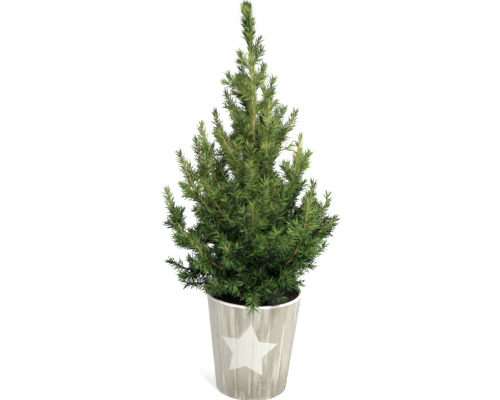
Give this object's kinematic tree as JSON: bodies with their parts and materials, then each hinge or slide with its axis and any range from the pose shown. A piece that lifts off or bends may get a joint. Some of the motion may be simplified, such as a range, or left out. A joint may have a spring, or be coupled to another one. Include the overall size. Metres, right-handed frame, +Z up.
{
  "type": "potted dwarf spruce",
  "caption": "Young dwarf spruce with a narrow open cone of upswept shoots, in a tapered glazed pot with a whitewashed plank look and a plain star.",
  "frame": {"origin": "centre of the pot's flat underside", "axes": "+Z up along the pot's axis, -Y towards the front with the star, +X to the front's right"},
  "size_m": [0.2429, 0.1939, 0.5329],
  "materials": {
    "pot_glaze": "whitewashed beige-grey plank look under a thin glaze, off-white rim, white star",
    "soil": "moist dark crumbly potting mix",
    "bark": "thin brown bark, orange-tan on the young shoots",
    "foliage": "fine green needles, lighter at the shoots' tips"
  },
  "bodies": {
    "root": {"pot": "pot_glaze", "potting_mix": "soil", "trunk": "bark", "bough_left_high": "bark", "bough_left_long": "bark", "bough_left_wide": "bark", "bough_left_low": "bark", "bough_front_left_low": "bark", "bough_front_left": "bark", "bough_front_right": "bark", "bough_right_low": "bark", "bough_right_wide": "bark", "bough_right_long": "bark", "bough_right_high": "bark", "bough_right_upright": "bark", "bough_right_back": "bark", "bough_back": "bark", "bough_back_left": "bark", "foliage_left_high": "foliage", "foliage_left_long": "foliage", "foliage_left_wide": "foliage", "foliage_left_low": "foliage", "foliage_front_left_low": "foliage", "foliage_front_left": "foliage", "foliage_front_right": "foliage", "foliage_right_low": "foliage", "foliage_right_wide": "foliage", "foliage_right_long": "foliage", "foliage_right_high": "foliage", "foliage_right_upright": "foliage", "foliage_right_back": "foliage", "foliage_back": "foliage", "foliage_back_left": "foliage", "foliage_left_middle": "foliage", "foliage_left_outer": "foliage", "foliage_left_inner": "foliage", "foliage_left_slim": "foliage", "foliage_right_inner": "foliage", "foliage_right_upper": "foliage", "foliage_right_front": "foliage", "foliage_front": "foliage", "foliage_front_left_high": "foliage", "foliage_back_right": "foliage", "foliage_back_high": "foliage", "foliage_back_left_high": "foliage", "foliage_left_rim": "foliage", "foliage_right_rim": "foliage", "foliage_right_droop": "foliage", "foliage_front_rim": "foliage", "foliage_front_left_rim": "foliage", "foliage_front_right_rim": "foliage", "foliage_back_rim": "foliage", "foliage_low_left_top": "foliage", "foliage_low_right_top": "foliage", "foliage_left_top": "foliage", "foliage_right_top": "foliage", "foliage_high_left_top": "foliage", "foliage_high_right_top": "foliage", "foliage_back_top": "foliage", "foliage_leader": "foliage"}
  },
  "joints": []
}
